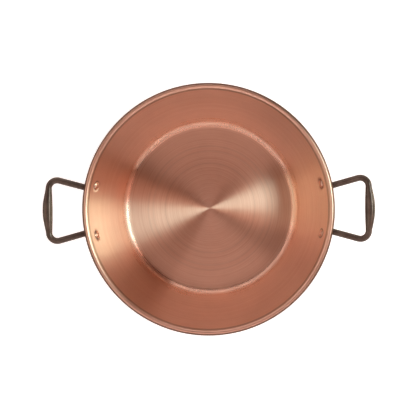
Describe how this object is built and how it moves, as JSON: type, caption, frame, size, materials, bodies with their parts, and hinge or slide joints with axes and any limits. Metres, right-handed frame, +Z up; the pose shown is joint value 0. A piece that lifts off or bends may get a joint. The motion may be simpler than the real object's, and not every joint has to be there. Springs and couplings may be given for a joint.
{
  "type": "preserving pan",
  "caption": "Round copper preserving pan with a flared wall, a wired rim and a riveted cast-iron loop handle on each side.",
  "frame": {"origin": "middle of the underside of the flat base", "axes": "+Z up along the bowl's axis; the handles point along -X (left) and +X (right); the front is -Y"},
  "size_m": [0.5004, 0.38, 0.12],
  "materials": {
    "copper": null,
    "rivet_copper": null,
    "steel_wire": "drawn steel wire, closed in the rim",
    "cast_iron": "dark brown-black cast iron, satin, as cast"
  },
  "bodies": {
    "root": {"pan_bowl": "copper", "rim_wire": "steel_wire", "handle_left": "cast_iron", "handle_right": "cast_iron", "rivet_left_front": "rivet_copper", "rivet_left_rear": "rivet_copper", "rivet_right_front": "rivet_copper", "rivet_right_rear": "rivet_copper"}
  },
  "joints": []
}
